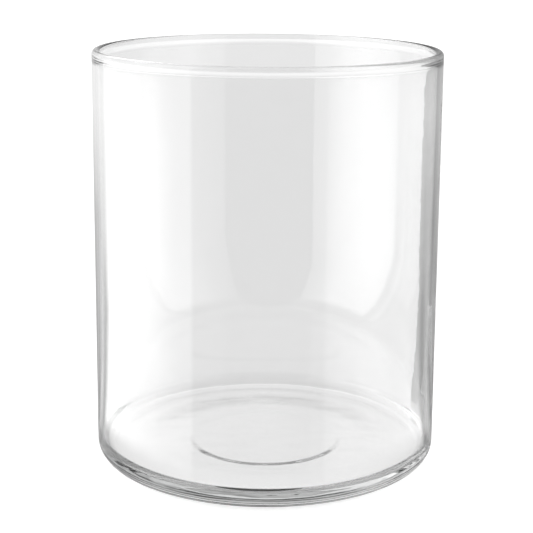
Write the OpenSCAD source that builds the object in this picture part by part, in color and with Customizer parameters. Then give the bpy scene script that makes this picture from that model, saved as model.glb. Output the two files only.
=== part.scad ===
// Plain cylinder vase, moulded in one piece from clear glass.
// The origin is on the table, on the axis of the vase, and +Z points up.
// Every outline is drawn as half a section, with the axis at x = 0, and turned round once.

/* [Body] */
// Outside diameter of the straight wall
body_d = 150; // [95:1:400]
// Overall height, from the table to the top of the lip
body_h = 180; // [60:1:600]
// Thickness of the straight wall
wall_t = 2.6; // [1.6:0.1:8]

/* [Lip] */
// How far the round lip swells into the opening
lip_swell = 1; // [0.2:0.1:2.5]
// Radius of the hollow curve that leads the wall into the lip
lip_blend_r = 8; // [2:0.5:20]

/* [Base] */
// Thickness of the base, from the table to the flat of the floor
base_t = 6.5; // [5:0.5:30]
// Radius of the round heel outside, between the wall and the foot
heel_r = 7.5; // [3:0.5:15]
// Radius of the round corner inside, between the wall and the floor
floor_corner_r = 5.5; // [3:0.5:15]
// Width of the flat of the floor, between its corner and the crowned middle
floor_flat_w = 17; // [4:1:25]
// How high the crowned middle of the floor rises above the flat
floor_crown = 0.4; // [0.2:0.1:2]

/* [Foot] */
// Width of the flat ring that rests on the table
foot_w = 8; // [4:0.5:25]
// Depth of the hollow in the underside, inside the foot
hollow_depth = 0.4; // [0.3:0.1:2]
// Width of the long slope from the foot up to the flat of the hollow
hollow_slope_w = 20; // [2:1:30]
// Width of the flat of the hollow, between its slope and the boss
hollow_flat_w = 4.5; // [2:0.5:15]
// Width of the slope at the edge of the boss
boss_slope_w = 4; // [1:0.5:10]
// How far the boss in the middle stands down from the flat of the hollow
boss_drop = 0.25; // [0.1:0.05:0.35]

/* [Hidden] */
// Smoothness of full circles, and of the very large circle of the crown
$fn = 180;
large_fn = 720;
// How far a cutting shape runs past the face it cuts
past = 1;

body_r = body_d / 2;
inside_r = body_r - wall_t;

// The lip is a round bead, thicker than the wall and flush with its outside. The wall ends at
// the bead's centre
bead_r = (wall_t + lip_swell) / 2;
bead_mid_r = body_r - bead_r;
bead_z = body_h - bead_r;

// The blend's circle touches the inside of the wall, and bites a hair into the bead
blend_bite = 0.01;
blend_mid_r = inside_r - lip_blend_r;
blend_reach = bead_r + lip_blend_r - blend_bite;
blend_z = bead_z - sqrt(pow(blend_reach, 2) - pow(bead_mid_r - blend_mid_r, 2));

// The flat of the floor, from its corner in to the crowned middle
floor_edge_r = inside_r - floor_corner_r;
crown_r = floor_edge_r - floor_flat_w;

// The underside, from the heel in to the foot, the slope and flat of the hollow, and the boss
foot_outer_r = body_r - heel_r;
hollow_r = foot_outer_r - foot_w;
hollow_flat_r = hollow_r - hollow_slope_w;
boss_edge_r = hollow_flat_r - hollow_flat_w;
boss_r = boss_edge_r - boss_slope_w;
boss_z = hollow_depth - boss_drop;

// What a quarter circle of radius r leaves of its corner, to the lower right of the origin
module corner_cut(r) {
    difference() {
        translate([0, -r - past])
            square(r + past);
        circle(r = r);
    }
}

// Half of a low circular arch, which rises by rise over a half width of span
module arch(span, rise) {
    arch_r = (span * span + rise * rise) / (2 * rise);
    intersection() {
        translate([0, rise - arch_r])
            circle(r = arch_r, $fn = large_fn);
        square([2 * span, 2 * rise]);
    }
}

// The round bead of the lip, and the hollow blend that leads the inside of the wall into it
module lip_section() {
    translate([bead_mid_r, bead_z])
        circle(r = bead_r);
    difference() {
        polygon([[blend_mid_r, blend_z], [bead_mid_r, blend_z], [bead_mid_r, bead_z]]);
        translate([blend_mid_r, blend_z])
            circle(r = lip_blend_r);
    }
}

// The solid block that the outside of the vase is cut to, up to the end of the wall
module outside_section() {
    difference() {
        square([body_r, bead_z]);
        translate([foot_outer_r, heel_r])
            corner_cut(heel_r);
    }
}

// The space inside, with its round corner and the crown of the floor left standing
module inside_section() {
    difference() {
        translate([0, base_t])
            square([inside_r, body_h]);
        translate([floor_edge_r, base_t + floor_corner_r])
            corner_cut(floor_corner_r);
        translate([0, base_t])
            arch(crown_r, floor_crown);
    }
}

// The hollow in the underside: a long slope up from the foot, a flat, and a low boss in the middle
module hollow_section() {
    polygon([
        [0, -past],
        [hollow_r, -past],
        [hollow_r, 0],
        [hollow_flat_r, hollow_depth],
        [boss_edge_r, hollow_depth],
        [boss_r, boss_z],
        [0, boss_z]
    ]);
}

module vase_body() {
    color("whitesmoke", 0.5) {
        rotate_extrude()
            difference() {
                outside_section();
                inside_section();
                hollow_section();
            }
        rotate_extrude()
            lip_section();
    }
}

vase_body();
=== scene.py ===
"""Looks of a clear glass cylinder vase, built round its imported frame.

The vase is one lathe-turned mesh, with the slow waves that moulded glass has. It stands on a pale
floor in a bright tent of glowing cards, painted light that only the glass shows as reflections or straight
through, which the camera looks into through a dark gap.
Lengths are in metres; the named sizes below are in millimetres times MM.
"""

import math

import bpy
from mathutils import Matrix, Vector, noise


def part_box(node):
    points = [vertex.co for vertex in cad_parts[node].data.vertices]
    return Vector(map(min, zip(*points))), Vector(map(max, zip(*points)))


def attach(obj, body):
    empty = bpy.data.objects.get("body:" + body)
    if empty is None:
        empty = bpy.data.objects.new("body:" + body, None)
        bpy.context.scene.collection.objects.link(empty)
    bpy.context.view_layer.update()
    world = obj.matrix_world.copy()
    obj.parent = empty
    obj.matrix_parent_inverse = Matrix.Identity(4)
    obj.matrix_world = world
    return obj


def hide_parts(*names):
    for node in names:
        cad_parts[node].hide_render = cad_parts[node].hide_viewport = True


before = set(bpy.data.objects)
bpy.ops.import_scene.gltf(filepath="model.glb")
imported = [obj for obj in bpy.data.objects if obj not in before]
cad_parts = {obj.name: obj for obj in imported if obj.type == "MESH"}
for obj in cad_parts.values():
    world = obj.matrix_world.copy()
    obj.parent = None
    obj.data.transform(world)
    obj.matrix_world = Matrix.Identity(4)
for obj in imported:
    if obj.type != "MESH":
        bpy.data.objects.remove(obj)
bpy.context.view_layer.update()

MM = 0.001
LOW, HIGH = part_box("vase_body")
AXIS_X = (LOW.x + HIGH.x) / 2
AXIS_Y = (LOW.y + HIGH.y) / 2
BODY_R = (HIGH.x - LOW.x) / 2
BODY_H = HIGH.z - LOW.z

# The section of the glass, the same as the part's
WALL_T = 2.6 * MM
LIP_SWELL = 1.0 * MM
LIP_BLEND_R = 8 * MM
BASE_T = 6.5 * MM
HEEL_R = 7.5 * MM
FLOOR_CORNER_R = 5.5 * MM
FLOOR_FLAT_W = 17 * MM
FLOOR_CROWN = 0.4 * MM
FOOT_W = 8 * MM
HOLLOW_DEPTH = 0.4 * MM
HOLLOW_SLOPE_W = 20 * MM
HOLLOW_FLAT_W = 4.5 * MM
BOSS_SLOPE_W = 4 * MM
BOSS_DROP = 0.25 * MM

ROUND_STEPS = 256
LIP_STEPS = 26

# The camera, fitted to the outline of the vase. The best fit needs a shift of -0.444, which would push the
# vase out of the other views, so this is the fit with a small shift and a steeper look down
CAMERA_DISTANCE = 0.6215
CAMERA_HEIGHT = 0.2399
CAMERA_PITCH = math.radians(12.41)
CAMERA_ROLL = math.radians(0.41)
CAMERA_LENS = 97.9
CAMERA_SHIFT_Y = -0.08
SENSOR_WIDTH = 36
CLIP_NEAR = 0.01
CLIP_FAR = 100


def camera():
    data = bpy.data.cameras.new("camera")
    data.lens = CAMERA_LENS
    data.sensor_width = SENSOR_WIDTH
    data.shift_y = CAMERA_SHIFT_Y
    data.clip_start = CLIP_NEAR
    data.clip_end = CLIP_FAR
    eye = bpy.data.objects.new("camera", data)
    turn = Matrix.Rotation(math.pi / 2 - CAMERA_PITCH, 4, "X") @ Matrix.Rotation(CAMERA_ROLL, 4, "Z")
    eye.matrix_world = Matrix.Translation((AXIS_X, AXIS_Y - CAMERA_DISTANCE, CAMERA_HEIGHT)) @ turn
    bpy.context.scene.collection.objects.link(eye)
    bpy.context.scene.camera = eye


def arc(mid_r, mid_z, radius, start, end, steps):
    """Points on a circle of the section, from one angle to another, in degrees from +r towards +z."""
    angles = [math.radians(start + (end - start) * i / steps) for i in range(steps + 1)]
    return [(mid_r + radius * math.cos(a), mid_z + radius * math.sin(a)) for a in angles]


def arch(span, foot_z, rise, steps):
    """Points on a low arch, from its top on the axis out to its foot."""
    radius = (span * span + rise * rise) / (2 * rise)
    reach = math.degrees(math.asin(span / radius))
    return arc(0, foot_z + rise - radius, radius, 90, 90 - reach, steps)


def straight(start, end, steps):
    """Points between two ends, without the ends."""
    return [
        (start[0] + (end[0] - start[0]) * i / steps, start[1] + (end[1] - start[1]) * i / steps)
        for i in range(1, steps)
    ]


def ease(start, end, steps):
    """Points on a curve that leaves one level and comes to the other without a corner, ends included."""
    out = []
    for i in range(steps + 1):
        t = i / steps
        smooth = t * t * (3 - 2 * t)
        out.append((start[0] + (end[0] - start[0]) * t, start[1] + (end[1] - start[1]) * smooth))
    return out


def underside():
    """The section from the middle of the underside out to the heel."""
    foot_outer = BODY_R - HEEL_R
    hollow_r = foot_outer - FOOT_W
    hollow_flat_r = hollow_r - HOLLOW_SLOPE_W
    boss_edge_r = hollow_flat_r - HOLLOW_FLAT_W
    boss_z = HOLLOW_DEPTH - BOSS_DROP
    boss = ease((boss_edge_r - BOSS_SLOPE_W, boss_z), (boss_edge_r, HOLLOW_DEPTH), steps=10)
    slope = ease((hollow_flat_r, HOLLOW_DEPTH), (hollow_r, 0), steps=18)
    middle = (0, boss_z)
    foot_outside = (foot_outer, 0)
    return (
        [middle] + straight(middle, boss[0], steps=30)
        + boss + straight(boss[-1], slope[0], steps=4)
        + slope + straight(slope[-1], foot_outside, steps=5)
    )


def outside():
    """The section up the outside, from the heel to the side of the lip."""
    heel = arc(BODY_R - HEEL_R, HEEL_R, HEEL_R, -90, 0, steps=16)
    lip_side = (BODY_R, BODY_H - (WALL_T + LIP_SWELL) / 2)
    return heel + straight(heel[-1], lip_side, steps=44)


def lip_and_inside():
    """The section over the lip, down the inside and across the floor to the axis."""
    bead_r = (WALL_T + LIP_SWELL) / 2
    bead_mid = (BODY_R - bead_r, BODY_H - bead_r)
    inside_r = BODY_R - WALL_T
    blend_mid_r = inside_r - LIP_BLEND_R
    blend_drop = math.sqrt((bead_r + LIP_BLEND_R) ** 2 - (bead_mid[0] - blend_mid_r) ** 2)
    turn = math.degrees(math.atan2(blend_drop, bead_mid[0] - blend_mid_r))
    lip = arc(*bead_mid, bead_r, 0, 180 + turn, steps=LIP_STEPS)
    blend = arc(blend_mid_r, bead_mid[1] - blend_drop, LIP_BLEND_R, turn, 0, steps=8)[1:]
    floor_edge_r = inside_r - FLOOR_CORNER_R
    corner = arc(floor_edge_r, BASE_T + FLOOR_CORNER_R, FLOOR_CORNER_R, 0, -90, steps=16)
    crown = arch(floor_edge_r - FLOOR_FLAT_W, BASE_T, FLOOR_CROWN, steps=22)[::-1]
    return (
        lip + blend + straight(blend[-1], corner[0], steps=42)
        + corner + straight(corner[-1], crown[0], steps=9) + crown
    )


# How far the glass strays from its section, and how long its waves are: slow ones round the wall,
# streaks along the heel, and ripples across the floor and the underside
WALL_WAVE = 0.05 * MM
WALL_WAVE_SIZE = Vector((26, 26, 70)) * MM
HEEL_WAVE = 0.05 * MM
HEEL_WAVE_SIZE = Vector((30, 30, 4)) * MM
HEEL_WAVE_TOP = 14 * MM
FLOOR_WAVE = 0.14 * MM
UNDERSIDE_WAVE = 0.10 * MM
FLOOR_WAVE_SIZE = Vector((13, 9, 13)) * MM
FLOOR_WAVE_FULL_R = 44 * MM
FLOOR_WAVE_END_R = 62 * MM

# Where each face reads the noise. The underside and the outside read it in one place, at different sizes
UNDERSIDE_SEED = 0
OUTSIDE_SEED = 0
FLOOR_SEED = 20
INSIDE_SEED = 40
HEEL_SEED = 80


def ripple(point, size, seed):
    """Smooth noise between 0 and 1, stretched to a size."""
    at = Vector((point.x / size.x, point.y / size.y, point.z / size.z))
    return 0.5 + 0.5 * noise.noise(at + Vector((seed, 0, 0)))


def fade(value, full, end):
    """1 up to one value, falling smoothly to 0 at another."""
    t = min(1.0, max(0.0, (value - full) / (end - full)))
    return 1 - t * t * (3 - 2 * t)


def wave(point, r, side):
    """How far a point of the glass moves into the glass."""
    if side == "under":
        under = UNDERSIDE_WAVE * ripple(point, FLOOR_WAVE_SIZE, UNDERSIDE_SEED)
        return under * min(1.0, point.z / HOLLOW_DEPTH)
    low = fade(point.z, BASE_T, HEEL_WAVE_TOP)
    wall = WALL_WAVE * ripple(point, WALL_WAVE_SIZE, INSIDE_SEED if side == "inside" else OUTSIDE_SEED)
    if side == "outside":
        heel = HEEL_WAVE * ripple(point, HEEL_WAVE_SIZE, HEEL_SEED)
        return wall * (1 - low) + heel * low * min(1.0, point.z / BASE_T)
    floor_share = fade(r, FLOOR_WAVE_FULL_R, FLOOR_WAVE_END_R)
    floor = FLOOR_WAVE * ripple(point, FLOOR_WAVE_SIZE, FLOOR_SEED) * floor_share
    return wall * (1 - low) + floor * low


def vase():
    section = underside() + outside() + lip_and_inside()
    outside_from = len(underside())
    inside_from = outside_from + len(outside()) + LIP_STEPS // 2
    verts, faces = [], []
    last = len(section) - 1
    rows = []
    for i, (r, z) in enumerate(section):
        if i in (0, last):
            rows.append([len(verts)])
            verts.append((AXIS_X, AXIS_Y, z))
            continue
        before, after = Vector(section[i - 1]), Vector(section[i + 1])
        along = (after - before).normalized()
        side = "under" if i < outside_from else "outside" if i < inside_from else "inside"
        row = []
        for k in range(ROUND_STEPS):
            a = 2 * math.pi * k / ROUND_STEPS
            move = wave(Vector((r * math.cos(a), r * math.sin(a), z)), r, side)
            rr, zz = r - along.y * move, z + along.x * move
            row.append(len(verts))
            verts.append((AXIS_X + rr * math.cos(a), AXIS_Y + rr * math.sin(a), zz))
        rows.append(row)
    for a, b in zip(rows, rows[1:]):
        for k in range(ROUND_STEPS):
            n = (k + 1) % ROUND_STEPS
            if len(a) == 1:
                faces.append((a[0], b[n], b[k]))
            elif len(b) == 1:
                faces.append((a[k], a[n], b[0]))
            else:
                faces.append((a[k], a[n], b[n], b[k]))
    mesh = bpy.data.meshes.new("vase_glass")
    mesh.from_pydata(verts, [], faces)
    mesh.shade_smooth()
    mesh.update()
    glass = bpy.data.objects.new("vase_glass", mesh)
    bpy.context.scene.collection.objects.link(glass)
    mesh.materials.append(clear_glass())
    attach(glass, "root")
    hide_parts("vase_body")


GLASS_IOR = 1.51
GLASS_TINT = (0.85, 0.858, 0.856, 1)
GLASS_DENSITY = 6.0
FINE_RIPPLE_SCALE = 90
FINE_RIPPLE_DETAIL = 3
FINE_RIPPLE_DEPTH = 0.02 * MM


def clear_glass():
    material = bpy.data.materials.new("clear_glass")
    material.use_nodes = True
    nodes, links = material.node_tree.nodes, material.node_tree.links
    shader = nodes["Principled BSDF"]
    shader.inputs["Base Color"].default_value = (1, 1, 1, 1)
    shader.inputs["Roughness"].default_value = 0.0
    shader.inputs["IOR"].default_value = GLASS_IOR
    shader.inputs["Transmission Weight"].default_value = 1.0
    place = nodes.new("ShaderNodeTexCoord")
    fine = nodes.new("ShaderNodeTexNoise")
    fine.inputs["Scale"].default_value = FINE_RIPPLE_SCALE
    fine.inputs["Detail"].default_value = FINE_RIPPLE_DETAIL
    bump = nodes.new("ShaderNodeBump")
    bump.inputs["Strength"].default_value = 1.0
    bump.inputs["Distance"].default_value = FINE_RIPPLE_DEPTH
    links.new(place.outputs["Object"], fine.inputs["Vector"])
    links.new(fine.outputs["Fac"], bump.inputs["Height"])
    links.new(bump.outputs["Normal"], shader.inputs["Normal"])
    absorb = nodes.new("ShaderNodeVolumeAbsorption")
    absorb.inputs["Color"].default_value = GLASS_TINT
    absorb.inputs["Density"].default_value = GLASS_DENSITY
    links.new(absorb.outputs["Volume"], nodes["Material Output"].inputs["Volume"])
    return material


# Brightness of the studio
FLOOR_ALBEDO = 0.9
SKY_LIGHT = 0.94
SKY_MIRRORED = 0.3
SKY_OVERHEAD = 1.03
SKY_FULL_FROM = 0.1
BARE_WHITE = 1.2
FLOOR_LIFT = 0.35

# The floor reaches this far each way, a hair below the foot. The cards lie a hair above the foot's plane,
# and the painted table light, a glow under the vase, between the foot and the floor. CARD_LIFT is in plain
# millimetres, as a card's sizes are
FLOOR_REACH = 6
FLOOR_DROP = 0.02 * MM
PAINTED_TABLE_LIGHT_DROP = 0.01 * MM
CARD_LIFT = 0.02
PAINTED_TABLE_LIGHT_STEPS = 64


def light_path_mix(nodes, links, path, plain, mirrored):
    """A number that is plain on a path without a reflection, and mirrored on one that has been reflected.

    A path that has left the floor counts as plain.
    """
    reflected = nodes.new("ShaderNodeMath")
    reflected.operation = "GREATER_THAN"
    reflected.inputs[1].default_value = 0.5
    links.new(path.outputs["Glossy Depth"], reflected.inputs[0])
    not_diffuse = nodes.new("ShaderNodeMath")
    not_diffuse.operation = "SUBTRACT"
    not_diffuse.inputs[0].default_value = 1
    links.new(path.outputs["Is Diffuse Ray"], not_diffuse.inputs[1])
    both = nodes.new("ShaderNodeMath")
    both.operation = "MULTIPLY"
    links.new(reflected.outputs[0], both.inputs[0])
    links.new(not_diffuse.outputs[0], both.inputs[1])
    return switch(nodes, links, both.outputs[0], plain, mirrored)


def switch(nodes, links, on, off_value, on_value):
    """A number that has one value when on is 0 and another when it is 1."""
    value = nodes.new("ShaderNodeMapRange")
    links.new(on, value.inputs["Value"])
    value.inputs["To Max"].default_value = on_value
    if isinstance(off_value, float):
        value.inputs["To Min"].default_value = off_value
    else:
        links.new(off_value, value.inputs["To Min"])
    return value.outputs["Result"]


def sky():
    """Even light from all round. Through the glass it starts as bright as the floor, so no horizon shows."""
    world = bpy.data.worlds.new("studio")
    bpy.context.scene.world = world
    world.use_nodes = True
    nodes, links = world.node_tree.nodes, world.node_tree.links
    path = nodes.new("ShaderNodeLightPath")
    where = nodes.new("ShaderNodeTexCoord")
    split = nodes.new("ShaderNodeSeparateXYZ")
    upward = nodes.new("ShaderNodeMapRange")
    upward.inputs["From Max"].default_value = SKY_FULL_FROM
    upward.inputs["To Min"].default_value = SKY_LIGHT * FLOOR_ALBEDO
    upward.inputs["To Max"].default_value = SKY_OVERHEAD
    links.new(where.outputs["Generated"], split.inputs["Vector"])
    links.new(split.outputs["Z"], upward.inputs["Value"])
    in_glass = light_path_mix(nodes, links, path, upward.outputs["Result"], SKY_MIRRORED)
    on_floor = switch(nodes, links, path.outputs["Is Diffuse Ray"], in_glass, SKY_LIGHT)
    bare = switch(nodes, links, path.outputs["Is Camera Ray"], on_floor, BARE_WHITE)
    background = nodes["Background"]
    links.new(bare, background.inputs["Strength"])
    background.inputs["Color"].default_value = (1, 1, 1, 1)


def floor():
    mesh = bpy.data.meshes.new("floor")
    corners = [(x * FLOOR_REACH, y * FLOOR_REACH, 0) for x, y in ((-1, -1), (1, -1), (1, 1), (-1, 1))]
    mesh.from_pydata(corners, [], [(0, 1, 2, 3)])
    plane = bpy.data.objects.new("floor", mesh)
    plane.location = (AXIS_X, AXIS_Y, LOW.z - FLOOR_DROP)
    bpy.context.scene.collection.objects.link(plane)
    material = bpy.data.materials.new("floor")
    material.use_nodes = True
    nodes, links = material.node_tree.nodes, material.node_tree.links
    shader = nodes["Principled BSDF"]
    shader.inputs["Base Color"].default_value = (FLOOR_ALBEDO,) * 3 + (1,)
    shader.inputs["Roughness"].default_value = 1
    shader.inputs["Specular IOR Level"].default_value = 0
    path = nodes.new("ShaderNodeLightPath")
    lift = nodes.new("ShaderNodeMath")
    lift.operation = "MULTIPLY"
    lift.inputs[1].default_value = FLOOR_LIFT
    links.new(path.outputs["Is Camera Ray"], lift.inputs[0])
    shader.inputs["Emission Color"].default_value = (1, 1, 1, 1)
    links.new(lift.outputs[0], shader.inputs["Emission Strength"])
    material.cycles.emission_sampling = "NONE"
    mesh.materials.append(material)


def card_material(name, for_mirrored):
    """A glow painted along a card, which only the glass sees: as a reflection, or else straight through."""
    material = bpy.data.materials.new(name)
    material.use_nodes = True
    nodes, links = material.node_tree.nodes, material.node_tree.links
    nodes.clear()
    out = nodes.new("ShaderNodeOutputMaterial")
    path = nodes.new("ShaderNodeLightPath")
    seen = light_path_mix(nodes, links, path, *((0.0, 1.0) if for_mirrored else (1.0, 0.0)))
    paint = nodes.new("ShaderNodeAttribute")
    paint.attribute_name = "brightness"
    glow = nodes.new("ShaderNodeEmission")
    links.new(paint.outputs["Fac"], glow.inputs["Strength"])
    clear = nodes.new("ShaderNodeBsdfTransparent")
    mix = nodes.new("ShaderNodeMixShader")
    links.new(seen, mix.inputs[0])
    links.new(clear.outputs[0], mix.inputs[1])
    links.new(glow.outputs[0], mix.inputs[2])
    links.new(mix.outputs[0], out.inputs["Surface"])
    material.cycles.emission_sampling = "NONE"
    return material


def around(azimuth, radius):
    """A place round the vase: azimuth in degrees from the front towards +X, radius in millimetres."""
    a = math.radians(azimuth)
    return (AXIS_X + radius * MM * math.sin(a), AXIS_Y - radius * MM * math.cos(a))


# A card runs over the table from beside the vase, and goes up at its far edge. These are the distances from
# the axis, and then the heights, that have a brightness of their own, in plain millimetres
TABLE_RINGS = (75.6, 104, 122)
CARD_HEIGHTS = (0, 50, 120, 190, 600)


def card(name, stations, for_mirrored=True):
    """A card round a stretch of the vase, on the table and up, painted with light.

    Each station is (azimuth beside the vase, azimuth of the upright, distance of the upright, and the
    brightness at each of TABLE_RINGS and at each of CARD_HEIGHTS).
    """
    verts, faces, glow = [], [], []
    for near, far, distance, *brightness in stations:
        beside, foot = around(near, TABLE_RINGS[0]), around(far, distance)
        for radius in TABLE_RINGS:
            share = (radius - TABLE_RINGS[0]) / (distance - TABLE_RINGS[0])
            verts.append((*[a + (b - a) * share for a, b in zip(beside, foot)], CARD_LIFT * MM))
        verts += [(*foot, (height + CARD_LIFT) * MM) for height in CARD_HEIGHTS]
        glow += brightness
    rows = len(TABLE_RINGS) + len(CARD_HEIGHTS)
    for i in range(len(stations) - 1):
        for j in range(rows - 1):
            k = i * rows + j
            faces.append((k, k + rows, k + rows + 1, k + 1))
    glowing(name, verts, faces, glow, for_mirrored)


def glowing(name, verts, faces, glow, for_mirrored):
    mesh = bpy.data.meshes.new(name)
    mesh.from_pydata(verts, [], faces)
    paint = mesh.attributes.new("brightness", "FLOAT", "POINT")
    paint.data.foreach_set("value", glow)
    piece = bpy.data.objects.new(name, mesh)
    bpy.context.scene.collection.objects.link(piece)
    mesh.materials.append(card_material(name, for_mirrored))
    piece.visible_camera = False
    piece.visible_diffuse = False
    piece.visible_shadow = False


def painted_table_light():
    """The table under the vase, as it looks through the vase: a glow that only the glass shows, painted with
    light, brighter at the front and the back.

    Each ring is (radius, brightness at the sides, brightness at the front and the back).
    """
    rings = ((1, 0.86, 0.86), (40, 0.88, 0.9), (60, 0.84, 0.98), (75.3, 0.78, 0.98))
    verts, faces, glow = [], [], []
    for radius, sides, ends in rings:
        for k in range(PAINTED_TABLE_LIGHT_STEPS):
            azimuth = 360 * k / PAINTED_TABLE_LIGHT_STEPS
            verts.append((*around(azimuth, radius), -PAINTED_TABLE_LIGHT_DROP))
            glow.append(sides + (ends - sides) * math.cos(math.radians(azimuth)) ** 2)
    for j in range(len(rings) - 1):
        for k in range(PAINTED_TABLE_LIGHT_STEPS):
            a = j * PAINTED_TABLE_LIGHT_STEPS + k
            b = j * PAINTED_TABLE_LIGHT_STEPS + (k + 1) % PAINTED_TABLE_LIGHT_STEPS
            faces.append((a, b, b + PAINTED_TABLE_LIGHT_STEPS, a + PAINTED_TABLE_LIGHT_STEPS))
    faces.append(tuple(range(PAINTED_TABLE_LIGHT_STEPS)))
    glowing("painted_table_light", verts, faces, glow, False)


def cards():
    """Glowing cards on both sides with a dark gap for the camera, and strips of light and dark behind:
    painted reflections that only the glass shows.

    The brightnesses follow the tones of the photograph. The first ones were rounded from a least-squares
    fit to it. These replaced them: worked out again from its tones, then retuned.
    """
    left_end = (0.4, 0.8, 1.7, 1.9, 1.9, 1.8, 1.3, 0.6)
    middle = (0.3, 0.35, 0.4, 0.5, 0.6, 1.0, 0.6, 0.4)
    right_end = (0.12, 0.8, 1.2, 1.0, 0.9, 0.95, 0.5, 0.3)
    dark_gap = (0.05, 0.05, 0.05, 0.08, 0.08, 0.08, 0.15, 0.4)
    card("left_card", [
        (-24.3, -40.2, 203, 0.3, 0.5, 0.8, 0.85, 0.95, 0.95, 0.8, 0.6),
        (-40, -52, 215, 0.3, 0.6, 1.3, 1.35, 1.4, 1.35, 1.0, 0.6),
        (-55, -67, 240, 0.3, 0.7, 2.0, 2.4, 2.6, 2.5, 1.6, 0.6),
        (-68, -82, 260, 0.3, 0.8, 2.3, 2.9, 3.1, 3.0, 1.8, 0.6),
        (-78, -97, 280, 0.3, 0.8, 2.3, 2.7, 2.8, 2.6, 1.6, 0.6),
        (-84, -110, 300, 0.4, 0.9, 2.1, 2.3, 2.3, 2.1, 1.4, 0.6),
        (-85, -117, 300, *left_end),
    ])
    card("back_left_card", [
        (-85, -117, 300, *left_end),
        (-87, -120, 300, 0.5, 0.45, 0.4, 0.35, 0.9, 1.0, 1.0, 0.6),
        (-91, -125, 300, 0.5, 0.5, 0.5, 0.4, 0.9, 1.0, 1.0, 0.6),
        (-95, -129, 300, 0.55, 0.7, 0.8, 0.9, 0.85, 1.0, 1.0, 0.6),
        (-97, -132, 300, 0.5, 0.6, 0.7, 0.85, 0.75, 0.95, 1.0, 0.6),
        (-100, -134.5, 300, 0.35, 0.2, 0.2, 0.45, 0.5, 0.75, 0.9, 0.6),
        (-103, -138, 300, 0.55, 0.5, 0.5, 0.65, 0.7, 0.9, 0.9, 0.6),
        (-109, -145, 300, 0.5, 0.4, 0.4, 0.45, 0.5, 0.85, 0.9, 0.6),
        (-125, -157, 300, 0.3, 0.35, 0.4, 0.5, 0.6, 0.9, 0.9, 0.6),
        (-180, -180, 300, *middle),
    ])
    card("back_right_card", [
        (180, 180, 300, *middle),
        (120, 154, 300, 0.35, 0.4, 0.4, 0.5, 0.55, 0.6, 0.5, 0.4),
        (113, 146, 300, 0.3, 0.3, 0.3, 0.25, 0.4, 0.5, 0.4, 0.3),
        (108, 140, 300, 0.4, 0.4, 0.4, 0.4, 0.35, 0.5, 0.4, 0.3),
        (104, 135, 300, 0.4, 0.45, 0.45, 0.45, 0.35, 0.45, 0.4, 0.3),
        (100, 131, 300, 0.35, 0.25, 0.25, 0.2, 0.25, 0.45, 0.35, 0.3),
        (94, 127, 300, 0.4, 0.6, 0.6, 0.55, 0.5, 0.6, 0.35, 0.3),
        (88, 121, 300, 0.3, 0.6, 0.6, 0.55, 0.55, 0.65, 0.35, 0.3),
        (83, 118, 300, 0.12, 0.3, 0.3, 0.2, 0.4, 0.7, 0.4, 0.3),
        (80, 114, 300, 0.12, 0.3, 0.3, 0.25, 0.4, 0.7, 0.4, 0.3),
        (78, 110, 300, *right_end),
    ])
    card("right_card", [
        (78, 110, 300, *right_end),
        (74, 97, 300, 0.15, 1.0, 1.6, 1.2, 1.2, 1.2, 0.6, 0.3),
        (66, 82, 300, 0.2, 1.0, 1.6, 1.2, 1.2, 1.15, 0.7, 0.4),
        (57, 67, 300, 0.3, 0.9, 1.4, 1.3, 1.2, 1.2, 0.8, 0.4),
        (38, 52, 300, 0.25, 0.6, 0.8, 0.85, 0.75, 0.65, 0.6, 0.4),
        (20, 34.3, 304, 0.2, 0.4, 0.45, 0.5, 0.5, 0.45, 0.4, 0.4),
    ])
    # The dark gap is a dim glow: painted darkness that the glass shows as a reflection where the camera
    # stands.
    card("gap", [(20, 34.3, 304, *dark_gap), (-24.3, -40.2, 203, *dark_gap)])
    # A dim glow seen only straight through the glass: painted darkness at the back right.
    card("painted_dark_patch", [
        (112, 155, 300, *[0.4] * 8),
        (90, 125, 300, *[0.4] * 8),
    ], for_mirrored=False)
    painted_table_light()


camera()
vase()
floor()
sky()
cards()

scene = bpy.context.scene
scene.view_settings.view_transform = "Standard"
scene.cycles.max_bounces = 32
scene.cycles.transmission_bounces = 32
scene.cycles.glossy_bounces = 24
scene.cycles.diffuse_bounces = 4
scene.cycles.transparent_max_bounces = 32
scene.cycles.blur_glossy = 0
scene.cycles.use_denoising = True
